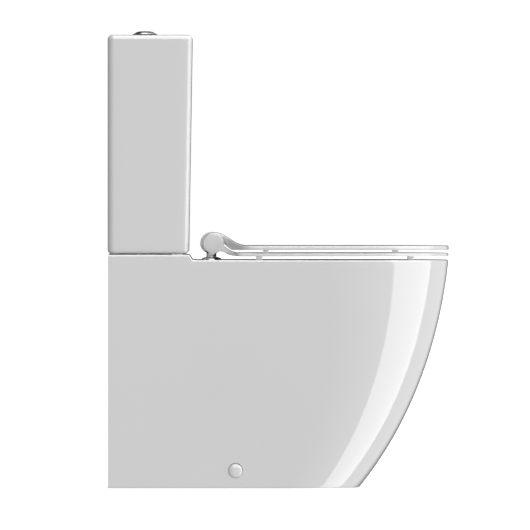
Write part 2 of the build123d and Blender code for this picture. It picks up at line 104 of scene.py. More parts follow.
def mirrored(name, wall, across=24, crease=32):
    """Closed solid from its right side wall. wall[k, i] is level k and station i from the back to the tip; the
    left wall is the mirror image, and straight rows of `across` steps join the two above and below."""
    left = wall * (-1, 1, 1)
    w = np.linspace(0, 1, across + 1)[1:-1, None, None]
    top = wall[-1] * (1 - w) + left[-1] * w
    low = left[0] * (1 - w) + wall[0] * w
    loop = np.concatenate([wall, top, left[::-1], low]).transpose(1, 0, 2)
    stations, around = loop.shape[:2]
    return solid(name, loop, quads(stations, around) + [list(range(around))], crease)


def carve(piece, tool, how="DIFFERENCE"):
    """Boolean of a piece with a tool body, applied; the tool is then gone."""
    step = piece.modifiers.new(how.lower(), "BOOLEAN")
    step.operation, step.object, step.solver = how, tool, "EXACT"
    bpy.context.view_layer.objects.active = piece
    bpy.ops.object.modifier_apply(modifier=step.name)
    bpy.data.objects.remove(tool)
    return piece


def half_at(z):
    """Half width: upright at the rim, drawn in towards the floor as a power of the depth below the rim."""
    return HALF_TOP - (HALF_TOP - HALF_FLOOR) * np.clip(1 - z / RIM, 0, 1) ** SKIRT_POWER


def front_at(z):
    """Distance from the wall to the front: an arc of an upright ellipse whose middle is above the rim."""
    drop = (np.minimum(z, RIM) - FRONT_MIDDLE_Z) / FRONT_HALF_Z
    return FRONT_MIDDLE_S + FRONT_HALF_S * np.sqrt(1 - drop ** 2)


def outline(z, inset, back=0.0):
    """Right half of the plan outline for every level and station in z: straight side, then a superellipse."""
    half, front = half_at(z) - inset, front_at(z) - inset
    reach = NOSE_FLOOR + NOSE_GAIN * np.minimum(z, RIM) / RIM - inset * 0.5
    side = front - reach
    n_back = len(BACK_STATIONS)
    s = np.empty_like(z)
    x = np.broadcast_to(half, z.shape).copy()
    s[:, :n_back] = np.maximum(BACK_STATIONS, back) if back >= 0 else BACK_STATIONS
    s[:, 0] = back
    s[:, n_back:n_back + 2] = STATIONS_END + (side[:, n_back:n_back + 2] - STATIONS_END) * np.array([0.35, 0.7])
    turn = FRONT_TURN[None, :]
    s[:, n_back + 2:] = side[:, n_back + 2:] + reach[:, n_back + 2:] * np.sin(turn) ** (2 / FRONT_POWER)
    x[:, n_back + 2:] = half[:, n_back + 2:] * np.abs(np.cos(turn)) ** (2 / FRONT_POWER)
    x[:, -1] = 0
    return x, s


def plan_normal(x, s):
    """Outward normal of a right half outline in plan, from its tangent; straight ahead at the tip."""
    dx, ds = np.gradient(x), np.gradient(s)
    length = np.hypot(dx, ds)
    nx, ns = ds / length, -dx / length
    nx[-1], ns[-1] = 0.0, 1.0
    nx[0], ns[0] = 1.0, 0.0
    return nx, ns


def arc_steps(radius, steps=8):
    """Inset and rise of a quarter round edge, from the wall up to the flat."""
    a = np.linspace(0, math.pi / 2, steps)
    return radius * (1 - np.cos(a)), radius * np.sin(a)


def top_height(s):
    """Height of the top: the platform, a short ramp as a smooth step, then the rim."""
    t = np.clip((s - DECK_FRONT) / DECK_SLOPE, 0, 1)
    return DECK + (RIM - DECK) * t * t * (3 - 2 * t)


def pan_body():
    """Outer body: levels in even steps of the local height, then the rounded top edge carried inwards."""
    count = len(BACK_STATIONS) + 2 + len(FRONT_TURN)
    flat = np.zeros((1, count))
    s_plan = outline(flat + RIM, 0)[1][0]
    height = top_height(s_plan)
    rise = np.concatenate([[0, 0.004], np.linspace(0.015, 1, 44)])[:, None]
    z = rise * (height - PAN_EDGE)
    x, s = outline(z, 0)
    foot = np.clip(1 - z / FOOT_EASE, 0, 1)
    nx, ns = plan_normal(x[-1], s[-1])
    x, s = x - nx * foot, s - ns * foot
    s[:, 0] = 0
    inset, up = arc_steps(PAN_EDGE)
    rx = x[-1] - inset[1:, None] * nx
    rs = s[-1] - inset[1:, None] * ns
    rz = height - PAN_EDGE + up[1:, None]
    return mirrored("pan_china", np.concatenate([place(x, s, z), place(rx, rs, np.broadcast_to(rz, rx.shape))]))


def pan_cavity():
    """Space inside the skirt: the outline drawn in by the wall, from under the floor to under the rim."""
    count = len(BACK_STATIONS) + 2 + len(FRONT_TURN)
    z = np.linspace(0, RIM - RIM_THICK, 26)[:, None] + np.zeros((1, count))
    x, s = outline(z, CHINA_WALL, -3.0)
    z[0] = -4
    return mirrored("cavity", place(x, s, z))


def stack(name, rings, crease=32):
    """Solid from closed rings, each joined to the next, with the first and last ring filled."""
    rows, cols = rings.shape[:2]
    caps = [list(range(cols)), list(range((rows - 1) * cols, rows * cols))]
    return solid(name, rings, quads(rows, cols) + caps, crease)


def smooth_rows(table, at, width):
    """Rows of a table read at even steps of its first column, then averaged over a sliding window."""
    fine = np.arange(table[0, 0] - 60, table[-1, 0] + 60, width / 12)
    out = []
    for column in table.T[1:]:
        low = column[0] + (fine - table[0, 0]) * (column[1] - column[0]) / (table[1, 0] - table[0, 0])
        high = column[-1] + (fine - table[-1, 0]) * (column[-1] - column[-2]) / (table[-1, 0] - table[-2, 0])
        raw = np.interp(fine, table[:, 0], column)
        raw = np.where(fine < table[0, 0], low, np.where(fine > table[-1, 0], high, raw))
        even = np.convolve(raw, np.ones(13) / 13, "same")
        out.append(np.interp(np.clip(at, table[0, 0] - 30, table[-1, 0] + 30), fine, even))
    return out


BOWL = np.array([(96, 336, 38, 37), (150, 350, 50, 44), (205, 368, 84, 62), (270, 388, 126, 90),
                 (340, 401, 160, 118), (395, 404, 175, 132), (424.2, 405, 178, 135)], float)
TURN = np.linspace(0, 2 * math.pi, 128, endpoint=False)


def bowl_form(name, z, grow, flare=None):
    """Oval rings whose middle and half axes follow the bowl's table with height; flare widens the last rows."""
    mid, a, b = (c[:, None] for c in smooth_rows(BOWL, z, 34.0))
    more = grow + (0 if flare is None else flare[:, None])
    return stack(name, place((b + more) * np.cos(TURN), mid + (a + more) * np.sin(TURN), z[:, None]))


def bent_path(knots, radius):
    """Points of a path in side view: straight runs joined by arcs of one radius at every corner."""
    knots = np.array(knots, float)
    runs = [knots[:1]]
    for before, here, after in zip(knots, knots[1:], knots[2:]):
        u, v = (before - here) / np.linalg.norm(before - here), (after - here) / np.linalg.norm(after - here)
        half = math.acos(np.clip(u @ v, -1, 1)) / 2
        middle = here + (u + v) / np.linalg.norm(u + v) * radius / math.sin(half)
        first, last = here + u * radius / math.tan(half), here + v * radius / math.tan(half)
        a, b = first - middle, last - middle
        w = np.linspace(0, 1, 13)[:, None]
        sweep = math.pi - 2 * half
        runs.append(middle + (np.sin((1 - w) * sweep) * a + np.sin(w * sweep) * b) / math.sin(sweep))
    return np.concatenate(runs + [knots[-1:]])


def pipe(name, path, radius, around=64, x=0.0):
    """Round tube body along a side view path: circles square to the path's tangent."""
    d = np.gradient(path, axis=0)
    d /= np.linalg.norm(d, axis=1)[:, None]
    a = np.linspace(0, 2 * math.pi, around, endpoint=False)
    x = x + radius * np.cos(a)[None, :] + np.zeros((len(path), 1))
    s = path[:, :1] - d[:, 1:] * radius * np.sin(a)
    z = path[:, 1:] + d[:, :1] * radius * np.sin(a)
    return stack(name, place(x, s, z))


def post(name, radius, x, s, z0, z1, around=48):
    """Plain upright round body."""
    a = np.linspace(0, 2 * math.pi, around, endpoint=False)
    z = np.array([[z0], [z1]], float)
    return stack(name, place(x + radius * np.cos(a)[None, :], s + radius * np.sin(a)[None, :], z))


def cross_bar(name, radius, x0, x1, s, z, around=48):
    """Plain round body lying across."""
    a = np.linspace(0, 2 * math.pi, around, endpoint=False)
    x = np.array([[x0], [x1]], float)
    return stack(name, place(x + 0 * a, s + radius * np.cos(a)[None, :], z + radius * np.sin(a)[None, :]))


def brick(name, x0, x1, s0, s1, z0, z1):
    """Plain box body."""
    x, s = np.array([[x0, x1, x1, x0]] * 2, float), np.array([[s0, s0, s1, s1]] * 2, float)
    return stack(name, place(x, s, np.array([[z0], [z1]], float)))


VALVE_S = 68.0
OUTLET_Z, OUTLET_END, SPIGOT_LENGTH = 180.0, 70.0, 25.0
TRAP_R, TRAP_SKIN_R, SPIGOT_R = 36, 46, 51
FLUSH_R, FLUSH_SKIN_R, FLUSH_Z = 22, 31, 378
BOSS_R, GASKET_R = 60, 48
LIP_R = 5.0
NOTCH_X, NOTCH_HALF = 125, 22
BOLT_X, BOLT_HOLE_R = 85, 6.0
POST_X, POST_S, STUD_HOLE_R = 77.5, 191.3, 6.5
SCREW_S, SCREW_Z, SCREW_HOLE_R, COVER_SEAT_R = 236.0, 33.0, 4.5, 13.8
TRAP = bent_path([(350, 200), (332, 90), (238, 90), (188, 252), (112, OUTLET_Z), (OUTLET_END, OUTLET_Z)], 50)
FLUSH_WAY = bent_path([(VALVE_S, 424), (VALVE_S, FLUSH_Z), (240, FLUSH_Z)], 34)
SPIGOT = np.array([(OUTLET_END + SPIGOT_LENGTH, OUTLET_Z), (OUTLET_END, OUTLET_Z)])
pan = carve(pan_body(), pan_cavity())

carve(pan, bowl_form("bowl_skin", np.linspace(100, RIM - 3, 40), CHINA_WALL), "UNION")
carve(pan, pipe("trap_skin", TRAP, TRAP_SKIN_R), "UNION")
carve(pan, pipe("spigot", SPIGOT, SPIGOT_R), "UNION")
carve(pan, pipe("flush_skin", FLUSH_WAY, FLUSH_SKIN_R), "UNION")
carve(pan, post("boss", BOSS_R, 0, VALVE_S, 395, 428, 96), "UNION")
lip_in, lip_up = arc_steps(LIP_R, 9)
lip_z = np.concatenate([np.linspace(106, RIM - 8, 56), RIM - LIP_R + lip_up[:-1], [RIM + 2]])
lip_flare = np.concatenate([np.zeros(56), lip_in[:-1], [lip_in[-2] + 0.6]])
carve(pan, bowl_form("bowl_hollow", lip_z, 0, lip_flare))
carve(pan, pipe("trap_hollow", np.concatenate([TRAP[:-1], [(OUTLET_END - 4.0, OUTLET_Z)]]), TRAP_R))
carve(pan, pipe("flush_hollow", FLUSH_WAY, FLUSH_R))
carve(pan, post("gasket_seat", GASKET_R, 0, VALVE_S, 412, 440, 96))
for sign in (-1, 1):
    carve(pan, brick("notch", sign * NOTCH_X - NOTCH_HALF, sign * NOTCH_X + NOTCH_HALF, -5, 90, 405, 440))
    carve(pan, post("bolt_hole", BOLT_HOLE_R, sign * BOLT_X, VALVE_S, 400, 440))
    carve(pan, post("stud_hole", STUD_HOLE_R, sign * POST_X, POST_S, 400, 430))
    carve(pan, cross_bar("screw_hole", SCREW_HOLE_R, sign * 125, sign * 175, SCREW_S, SCREW_Z))
    carve(pan, cross_bar("cover_seat", COVER_SEAT_R, sign * 151, sign * 175, SCREW_S, SCREW_Z))
finish_mesh(pan, 32)


class Wire:
    """A socket of a material's node tree. Sums and products with numbers or other wires add Math nodes."""

    def __init__(self, tree, socket):
        self.tree, self.socket = tree, socket

    def node(self, kind, inputs, out=0, **settings):
        """Any other node: its type, its settings, then the values or wires of its sockets; gives one output."""
        made = self.tree.nodes.new(kind)
        for key, value in settings.items():
            setattr(made, key, value)
        for key, value in inputs.items():
            if isinstance(value, Wire):
                self.tree.links.new(value.socket, made.inputs[key])
            else:
                made.inputs[key].default_value = value
        return Wire(self.tree, made.outputs[out])

    def math(self, operation, a, b):
        return self.node("ShaderNodeMath", {0: a, 1: b}, operation=operation)

    def __add__(self, other):
        return self.math("ADD", self, other)

    def __radd__(self, other):
        return self.math("ADD", other, self)

    def __sub__(self, other):
        return self.math("SUBTRACT", self, other)

    def __rsub__(self, other):
        return self.math("SUBTRACT", other, self)

    def __mul__(self, other):
        return self.math("MULTIPLY", self, other)

    def __rmul__(self, other):
        return self.math("MULTIPLY", other, self)

    def noise(self, scale, detail=2.0, rough=0.5):
        """Cloudy noise read at this position."""
        inputs = {"Vector": self, "Scale": scale, "Detail": detail, "Roughness": rough}
        return self.node("ShaderNodeTexNoise", inputs)

    def step(self, low, high):
        """Smooth ramp from 0 at low to 1 at high."""
        inputs = {0: self, 1: low, 2: high, 3: 0.0, 4: 1.0}
        return self.node("ShaderNodeMapRange", inputs, interpolation_type="SMOOTHSTEP")

    def blend(self, first, second):
        """Colour mix by this wire."""
        return self.node("ShaderNodeMix", {0: self, 6: first, 7: second}, out=2, data_type="RGBA")

    def bump(self, strength, distance):
        """Surface relief from this wire as height."""
        return self.node("ShaderNodeBump", {"Height": self, "Strength": strength, "Distance": distance})


def finish_of(name, **constants):
    """New material: gives its Principled shader, and a wire of the object's own coordinates in metres."""
    material = bpy.data.materials.new(name)
    material.use_nodes = True
    tree = material.node_tree
    shader = tree.nodes["Principled BSDF"]
    for key, value in constants.items():
        shader.inputs[key.replace("_", " ")].default_value = value
    where = tree.nodes.new("ShaderNodeTexCoord")
    return material, shader, Wire(tree, where.outputs["Object"])


def feed(shader, **wires):
    """Links wires to the shader's sockets."""
    for key, wire in wires.items():
        wire.tree.links.new(wire.socket, shader.inputs[key.replace("_", " ")])


def height_of(where):
    """The upright coordinate as a wire."""
    return where.node("ShaderNodeSeparateXYZ", {0: where}, out=2)


def wear(piece, material, body="fixed", *nodes):
    """Gives a new piece its material, its body and the CAD nodes that it stands for."""
    piece.data.materials.clear()
    piece.data.materials.append(material)
    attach(piece, body)
    for node in nodes:
        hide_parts(node)
    return piece


def dress(material, *nodes):
    """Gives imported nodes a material."""
    for name in nodes:
        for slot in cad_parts[name].material_slots:
            slot.material = material


def glaze():
    """White glaze: faint clouding of tone, very low roughness with drifts, slow waves of the fired surface, and
    bare matt biscuit on the foot ring within about two millimetres of the floor."""
    material, shader, at = finish_of("white_glaze", IOR=1.56, Coat_Weight=0.35, Coat_Roughness=0.02)
    cloud, wave, speck = at.noise(5.0), at.noise(26.0, 3.0), at.noise(900.0, 1.0)
    bare = 1.0 - height_of(at).step(0.0009, 0.0022)
    tone = cloud.blend((0.775, 0.775, 0.772, 1), (0.80, 0.80, 0.798, 1))
    tone = bare.blend(tone, (0.70, 0.68, 0.64, 1))
    rough = cloud * 0.03 + speck * 0.015 + 0.045 + bare * 0.6
    feed(shader, Base_Color=tone, Roughness=rough, Normal=(wave * 0.8 + speck * 0.02).bump(0.10, 0.0016))
    return material


china = glaze()
wear(pan, china, "fixed", "pan")

# ---------------------------------------------------------------- cistern
# The cistern is a slip cast box of the same china that leans a little forward going up. It has softly rounded
# edges, an inner ledge for its lid, and holes in the floor for the valves and the two bolts.
CISTERN_LOW, CISTERN_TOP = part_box("cistern")[0].z * 1000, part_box("cistern")[1].z * 1000
CISTERN_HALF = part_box("cistern")[1].x * 1000
DEPTH_LOW, DEPTH_TOP = 149.7, 156.3
LOW_EDGE, TOP_EDGE, CORNER = 6.5, 9.0, 12.0
LEDGE_Z, MOUTH_Z = CISTERN_TOP - 12, CISTERN_TOP - 32
OUTLET_HOLE_R, INLET_HOLE_R, WALL_HOLE_R = 33.0, 12.0, 4.0
FILL_X, FILL_S = 125.0, 66.0
WALL_HOLE_X, WALL_HOLE_Z = 115, 720.0


def round_box(half, s0, s1, radius, steps=9, side_steps=6):
    """Closed plan outline: a rectangle with quarter circle corners, every side divided alike."""
    a = np.linspace(0, math.pi / 2, steps)
    corners = [(half - radius, s1 - radius, 0), (-half + radius, s1 - radius, 1),
               (-half + radius, s0 + radius, 2), (half - radius, s0 + radius, 3)]
    arcs = [np.stack([cx + radius * np.cos(a + q * math.pi / 2), cs + radius * np.sin(a + q * math.pi / 2)], -1)
            for cx, cs, q in corners]
    w = np.linspace(0, 1, side_steps + 1)[1:-1, None]
    turned = arcs[1:] + arcs[:1]
    sides = [np.concatenate([arc, arc[-1] * (1 - w) + after[0] * w]) for arc, after in zip(arcs, turned)]
    return np.concatenate(sides)


def depth_at(z):
    """Depth of the leaning front at one height."""
    return DEPTH_LOW + (DEPTH_TOP - DEPTH_LOW) * (z - CISTERN_LOW) / (CISTERN_TOP - CISTERN_LOW)


def box_ring(inset, z, radius, leaning=True):
    """One ring of the box, drawn in by an inset."""
    front = depth_at(z) if leaning else DEPTH_TOP
    xs = round_box(CISTERN_HALF - inset, inset, front - inset, max(radius - inset, 1.5))
    return place(xs[:, 0], xs[:, 1], z)


low_in, low_up = arc_steps(LOW_EDGE, 9)
top_in, top_up = arc_steps(TOP_EDGE, 11)
rings = [box_ring(i, CISTERN_LOW + LOW_EDGE - u, CORNER) for i, u in zip(low_in[::-1], low_up[::-1])]
rings += [box_ring(0, z, CORNER) for z in np.linspace(CISTERN_LOW + 20, CISTERN_TOP - 20, 12)]
rings += [box_ring(i, CISTERN_TOP - TOP_EDGE + u, CORNER) for i, u in zip(top_in, top_up)]
rings += [box_ring(13.2, CISTERN_TOP, 20.4, False), box_ring(13.8, CISTERN_TOP - 0.25, 20.8, False)]
rings += [box_ring(14.0, CISTERN_TOP - 0.9, 21.0, False), box_ring(14.0, LEDGE_Z, 21.0, False)]
rings += [box_ring(24.0, LEDGE_Z, 32.0, False), box_ring(24.0, MOUTH_Z, 32.0, False)]
rings += [box_ring(10.0, z, 16.0) for z in np.linspace(MOUTH_Z - 0.5, CISTERN_LOW + 22, 8)]
rings += [box_ring(12.0, CISTERN_LOW + 14.5, 18.0), box_ring(16.0, CISTERN_LOW + 12.5, 22.0)]
cistern = stack("cistern_china", np.array(rings))
WALL_HOLE = np.array([(-4.0, WALL_HOLE_Z), (14.0, WALL_HOLE_Z)])
carve(cistern, post("outlet_hole", OUTLET_HOLE_R, 0, VALVE_S, 420, 460, 72))
for sign in (-1, 1):
    carve(cistern, post("inlet_hole", INLET_HOLE_R, sign * FILL_X, FILL_S, 420, 460))
    carve(cistern, post("bolt_hole", BOLT_HOLE_R, sign * BOLT_X, VALVE_S, 420, 460))
    carve(cistern, pipe("wall_hole", WALL_HOLE, WALL_HOLE_R, 24, sign * WALL_HOLE_X))
finish_mesh(cistern, 32)
wear(cistern, china, "fixed", "cistern")

# ---------------------------------------------------------------- cistern lid
# The lid is a loose flat plate of the same china, ground to drop into the cistern's mouth with about a
# millimetre of play all round, and bored for the push button.
LID_LOW, LID_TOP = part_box("cistern_lid")[0].z * 1000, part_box("cistern_lid")[1].z * 1000
LID_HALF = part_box("cistern_lid")[1].x * 1000
LID_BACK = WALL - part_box("cistern_lid")[1].y * 1000
LID_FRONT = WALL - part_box("cistern_lid")[0].y * 1000
PLATE_EDGE, PLATE_CORNER, BORE_R = 1.6, 6.0, 21.0


def plate_ring(inset, z, radius):
    """Ring of the lid's outline."""
    xs = round_box(LID_HALF - inset, LID_BACK + inset, LID_FRONT - inset, radius - inset)
    return place(xs[:, 0], xs[:, 1], z)


def hole_ring(radius, z):
    """Ring of the bore, matched by direction to the points of the lid's outline."""
    xs = round_box(LID_HALF, LID_BACK, LID_FRONT, PLATE_CORNER)
    turn = np.arctan2(xs[:, 1] - VALVE_S, xs[:, 0])
    return place(radius * np.cos(turn), VALVE_S + radius * np.sin(turn), z)


edge_in, edge_up = arc_steps(PLATE_EDGE, 6)
rings = [plate_ring(i, LID_TOP - PLATE_EDGE + u, PLATE_CORNER) for i, u in zip(edge_in, edge_up)]
rings += [plate_ring(5.0, LID_TOP, 8.0), hole_ring(BORE_R + 3.0, LID_TOP), hole_ring(BORE_R + 1.0, LID_TOP)]
rings += [hole_ring(BORE_R + 0.4, LID_TOP - 0.3), hole_ring(BORE_R, LID_TOP - 1.0), hole_ring(BORE_R, LID_LOW)]
rings += [hole_ring(BORE_R + 3.0, LID_LOW), plate_ring(2.0, LID_LOW, PLATE_CORNER)]
rings += [plate_ring(0.5, LID_LOW + 0.5, PLATE_CORNER), plate_ring(0, LID_LOW + 1.5, PLATE_CORNER)]
rings = np.array(rings)
cistern_lid = solid("cistern_lid_china", rings, quads(*rings.shape[:2], wrap_rows=True))
wear(cistern_lid, china, "cistern_cover", "cistern_lid")

# ---------------------------------------------------------------- push button
# A threaded bezel of plated plastic is clamped through the lid by a round nut. Inside it are a large full flush
# plate and a small half flush plate, each domed and polished, that push on plain plastic rods.


def plating():
    """Bright chrome plate: near mirror, with a very slight drift of polish and the finest wipe marks."""
    material, shader, at = finish_of("bright_chrome", Metallic=1.0)
    drift, fine = at.noise(60.0), at.noise(1400.0, 1.0)
    tone = drift.blend((0.56, 0.57, 0.585, 1), (0.66, 0.665, 0.675, 1))
    feed(shader, Base_Color=tone, Roughness=drift * 0.05 + fine * 0.03 + 0.04,
         Normal=(drift + fine * 0.05).bump(0.05, 0.0008))
    return material


chrome = plating()


def spun(name, profile, x, s, around=96, crease=28):
    """Closed ring body from a closed profile of radius and height pairs turned about an upright axis."""
    a = np.linspace(0, 2 * math.pi, around, endpoint=False)
    r, z = np.array(profile, float).T[:, :, None]
    points = place(x + r * np.cos(a), s + r * np.sin(a), z)
    return solid(name, points, quads(*points.shape[:2], wrap_rows=True), crease)


BEZEL = [(19.3, 838.6), (19.3, 840.6), (19.55, 840.95), (20.1, 841.0), (20.6, 840.75), (21.6, 840.0),
         (22.6, 839.35), (23.6, 838.8), (24.0, 838.6), (24.0, 838.2), (20.6, 838.1)]
THREAD = [(20.6 - 0.35 * (k % 2), 837.4 - 0.8 * k) for k in range(38)]
BEZEL += THREAD + [(20.2, 804.2), (19.3, 804.2)]
bezel = spun("bezel_chrome", BEZEL, 0, VALVE_S)
wear(bezel, chrome, "cistern_cover", "button_bezel")


def spread(piece, width, segments=3, angle=35):
    """Rounds a piece's crisp edges with a bevel of one width, then shades it again."""
    edge = piece.modifiers.new("edges", "BEVEL")
    edge.width, edge.segments = width * 0.001, segments
    edge.limit_method, edge.angle_limit = "ANGLE", math.radians(angle)
    bpy.context.view_layer.objects.active = piece
    bpy.ops.object.modifier_apply(modifier=edge.name)
    return finish_mesh(piece, angle)


PLATE_R, PLATE_LOW, PLATE_HIGH, PLATE_TOP = 18.9, 824.2, 840.6, 845.1
DOME_FALL, DOME_POWER = 4.1, 4.2


def push_plate(name, split, sign):
    """Half plate: an arc closed by a straight cut, its top a dome that falls with a power of the radius."""
    end = math.acos(sign * split / PLATE_R)
    arc = np.linspace(-end, end, 72) + (0 if sign > 0 else math.pi)
    edge = np.stack([PLATE_R * np.cos(arc), PLATE_R * np.sin(arc)], -1)
    w = np.linspace(0, 1, 25)[1:-1, None]
    edge = np.concatenate([edge, edge[-1] * (1 - w) + edge[0] * w])
    middle = np.array([(split + sign * PLATE_R) / 2, 0.0])
    shrink = np.array([1, 0.985, 0.96, 0.92, 0.86, 0.78, 0.68, 0.56, 0.44, 0.3, 0.15, 0.02])[:, None, None]
    flat = middle + (edge - middle) * shrink
    dome = PLATE_TOP - DOME_FALL * (np.hypot(flat[..., 0], flat[..., 1]) / PLATE_R) ** DOME_POWER
    top = place(flat[..., 0], VALVE_S + flat[..., 1], dome)
    wall = np.stack([place(edge[:, 0], VALVE_S + edge[:, 1], z) for z in (PLATE_LOW, 832.0, 838.0, PLATE_HIGH)])
    piece = stack(name, np.concatenate([wall, top]), 40)
    return spread(piece, 0.35)


full_plate = push_plate("full_plate_chrome", 4.65, -1)
half_plate = push_plate("half_plate_chrome", 5.35, 1)
wear(full_plate, chrome, "full_button", "full_flush_button")
wear(half_plate, chrome, "half_button", "half_flush_button")


def moulded(name, tone, rough=0.42):
    """Moulded plastic: satin skin with fine spark eroded grain and a slight cloud of tone."""
    material, shader, at = finish_of(name, IOR=1.5)
    cloud, grain = at.noise(14.0), at.noise(2600.0, 1.0)
    dark = tuple(c * 0.93 for c in tone)
    feed(shader, Base_Color=cloud.blend((*dark, 1), (*tone, 1)),
         Roughness=cloud * 0.1 + grain * 0.1 + (rough - 0.1), Normal=grain.bump(0.22, 0.00012))
    return material


white_plastic = moulded("white_moulding", (0.80, 0.80, 0.775))
grey_plastic = moulded("grey_moulding", (0.30, 0.36, 0.43))
dress(white_plastic, "button_locknut", "full_flush_rod", "half_flush_rod")

# ---------------------------------------------------------------- valves in the cistern
# The flush valve stands on a rubber seal over the outlet and is pulled down by a large nut; the fill valve
# stands beside it on its own shank, with a cup float that works a lever. All are injection moulded, with steel
# pins.


def rubber(name, tone, rough=0.62, painted_glow=0.0):
    """Moulded rubber: matt, with fine mottling and a faint bloom; its emission strength is a painted glow, with
    no lamp in it, that lightens pale rubber lying in shade.
    """
    material, shader, at = finish_of(name, IOR=1.5, Emission_Strength=painted_glow)
    bloom, grain = at.noise(35.0, 3.0), at.noise(1800.0, 1.0)
    pale = tuple(min(1, c * 1.25 + 0.01) for c in tone)
    feed(shader, Base_Color=bloom.blend((*tone, 1), (*pale, 1)), Roughness=bloom * 0.15 + (rough - 0.05),
         Normal=grain.bump(0.3, 0.0002))
    return material


def metal(name, tone, rough, scale):
    """Turned or drawn metal: fine drift of tone and roughness."""
    material, shader, at = finish_of(name, Metallic=1.0)
    drift, fine = at.noise(scale), at.noise(scale * 20, 1.0)
    dull = tuple(c * 0.82 for c in tone)
    feed(shader, Base_Color=drift.blend((*dull, 1), (*tone, 1)), Roughness=drift * 0.12 + fine * 0.08 + rough,
         Normal=fine.bump(0.15, 0.0001))
    return material


black_rubber = rubber("black_rubber", (0.018, 0.018, 0.018))
# The pale rubber has an emission of 0.35: a painted glow that keeps the small pads and buffers from going dark
# in the shade between parts.
white_rubber_painted_glow = rubber("white_rubber_painted_glow", (0.86, 0.86, 0.85), 0.5, 0.35)
brass = metal("cast_brass", (0.78, 0.58, 0.28), 0.22, 90.0)
steel = metal("bright_steel", (0.62, 0.62, 0.61), 0.2, 120.0)
dress(white_plastic, "flush_valve_base", "flush_valve_tower", "valve_backnut", "fill_valve_riser",
      "fill_valve_backnut", "fill_valve_head", "inlet_plug")
dress(grey_plastic, "full_rocker", "half_rocker", "overflow_tube", "flush_float", "float_cup", "float_lever",
      "level_screw")
dress(black_rubber, "flush_seal", "valve_seal_washer", "coupling_gasket", "fill_valve_washer")
dress(steel, "rocker_pin", "lever_pin", "float_link")

# ---------------------------------------------------------------- cistern bolts
# Two brass bolts hold the cistern to the platform, with rubber washers above and below, metal washers and wing
# nuts under the platform, and two small rubber pads that keep the seam even.
dress(brass, "cistern_bolts", "wing_nuts", "bolt_washers")
dress(black_rubber, "bolt_rubbers")
# The pads carry the pale rubber's painted glow, an emission that lifts them out of the shade under the cistern.
dress(white_rubber_painted_glow, "cistern_pads")

# ---------------------------------------------------------------- hinge posts
# Each hinge stands on a plated round post with a thin spun rosette at its foot. A stud through the rim is
# pulled up from below by a plastic nut over a rubber bush, and a plated head on the post holds the hinge pin.
AXIS_S, AXIS_Z = 195.4, 452.3
SOCKET_R = 9.4
POST = [(4.1, RIM + 0.3), (9.2, RIM + 0.3), (9.35, RIM + 0.6), (9.35, 436.0), (9.35, 441.6), (8.9, 442.0),
        (4.1, 442.0)]
ROSETTE = [(9.42, 0.1), (18.0, 0.1), (18.2, 0.5), (18.05, 1.4), (17.2, 2.2), (15.2, 3.2), (12.4, 3.9),
           (10.2, 4.3), (9.42, 4.3)]
HEAD = [(5.05, 59.3), (12.6, 59.3), (13.3, 59.7), (13.5, 60.4), (13.5, 98.2), (13.2, 98.8), (12.6, 99.2),
        (5.05, 99.2)]


def spun_across(name, profile, sign, s=AXIS_S, z=AXIS_Z, around=96, crease=28):
    """Ring body from a closed profile of radius and side offset pairs turned about an axis that lies across."""
    a = np.linspace(0, 2 * math.pi, around, endpoint=False)
    r, x = np.array(profile, float).T[:, :, None]
    points = place(sign * x + 0 * a, s + r * np.cos(a), z + r * np.sin(a))
    return solid(name, points, quads(*points.shape[:2], wrap_rows=True), crease)


for sign, hand in ((-1, "left"), (1, "right")):
    column = spun("post_" + hand, POST, sign * POST_X, POST_S)
    rosette = spun("rosette_" + hand, [(r, RIM + z) for r, z in ROSETTE], sign * POST_X, POST_S)
    head = spun_across("head_" + hand, HEAD, sign)
    carve(head, post("socket", SOCKET_R, sign * POST_X, POST_S, 430, 442.1, 64))
    finish_mesh(head, 28)
    for piece, node in ((column, "hinge_posts"), (rosette, "hinge_rosettes"), (head, "hinge_heads")):
        wear(piece, chrome, "fixed", node)
dress(steel, "hinge_pins", "seat_studs")
dress(grey_plastic, "damper_cartridges")
dress(black_rubber, "stud_bushes")
dress(white_plastic, "stud_nuts")

# ---------------------------------------------------------------- seat
# The seat is a slim ring pressed from glossy white thermoset, its plan the same rounded D as the pan. Two webs
# rise behind it to round knuckles that turn on the ends of the hinge pins.
SEAT_LOW, SEAT_TOP = 428.5, 434.8
SEAT_BACK, SEAT_BACK_HALF = 238.8, 171.0
SEAT_CORNER = 10.0
SEAT_EDGE_TOP, SEAT_EDGE_LOW, HOLE_EDGE, SEAT_DISH = 2.4, 1.2, 3.6, 1.1
SIDE_S = front_at(np.array(RIM)) - NOSE_FLOOR - NOSE_GAIN
TIP_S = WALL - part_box("seat_ring")[0].y * 1000
HOLE_S, HOLE_A, HOLE_B = 425.0, 142.0, 105.0


def thermoset():
    """Pressed white thermoset: glossier than china, with the slightest orange peel."""
    material, shader, at = finish_of("white_thermoset", IOR=1.52, Coat_Weight=0.2, Coat_Roughness=0.03)
    cloud, peel = at.noise(7.0), at.noise(220.0, 2.0)
    feed(shader, Base_Color=cloud.blend((0.80, 0.80, 0.80, 1), (0.825, 0.825, 0.825, 1)),
         Roughness=cloud * 0.03 + peel * 0.03 + 0.06, Normal=peel.bump(0.05, 0.0005))
    return material


seat_white = thermoset()


